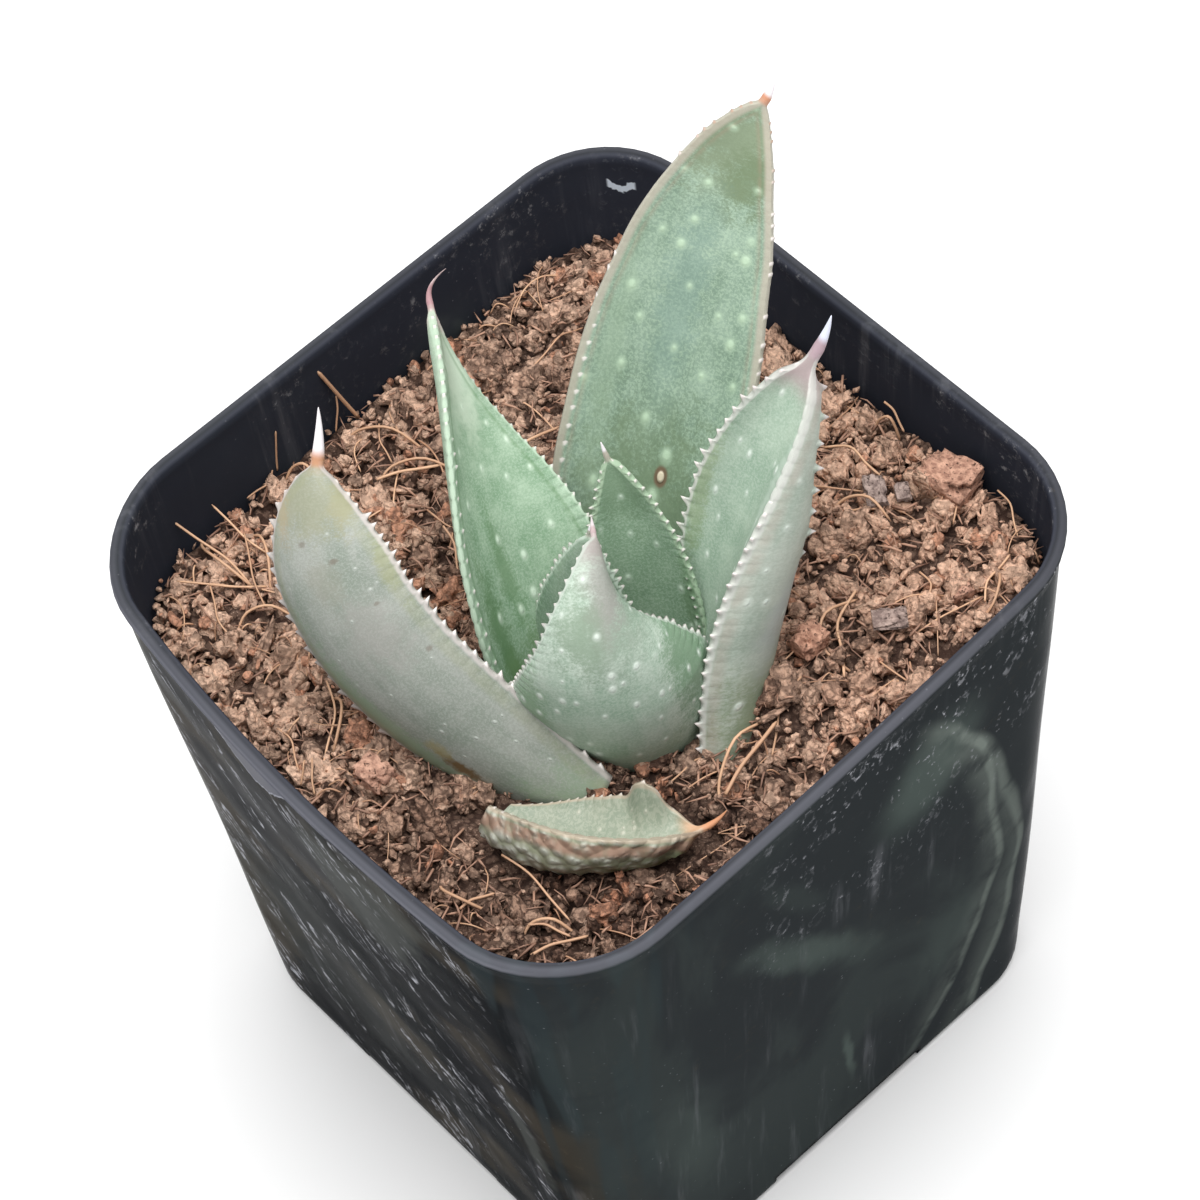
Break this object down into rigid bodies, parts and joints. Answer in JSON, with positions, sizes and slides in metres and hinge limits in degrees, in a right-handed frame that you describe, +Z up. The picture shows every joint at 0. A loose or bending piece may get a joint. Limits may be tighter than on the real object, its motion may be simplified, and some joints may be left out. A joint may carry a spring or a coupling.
{
  "type": "potted succulent",
  "caption": "Young potted savanna haworthia: a rosette of toothed, spine-tipped fleshy leaves in coir soil, in a small square plastic nursery pot.",
  "frame": {"origin": "on the surface the pot stands on, under the middle of the object's bounding box", "axes": "+Z up; X and Y along the pot's sides; the tall leaf leans towards +Y and the small withered leaf lies towards the corner at +X, -Y"},
  "size_m": [0.0727, 0.0745, 0.1098],
  "materials": {
    "pot_plastic": "black injection-moulded plastic, satin gloss, dusty and scuffed",
    "coir_soil": null,
    "stem": null,
    "leaf_green": null,
    "leaf_pale": null,
    "leaf_grey": null,
    "leaf_dark": null,
    "leaf_withered": null
  },
  "bodies": {
    "root": {"pot": "pot_plastic", "soil": "coir_soil", "stem_and_roots": "stem", "leaf_tall_back": "leaf_green", "leaf_left": "leaf_green", "leaf_right": "leaf_pale", "leaf_front_left": "leaf_grey", "leaf_front": "leaf_pale", "leaf_centre": "leaf_dark", "leaf_inner_left": "leaf_green", "leaf_withered": "leaf_withered"}
  },
  "joints": []
}
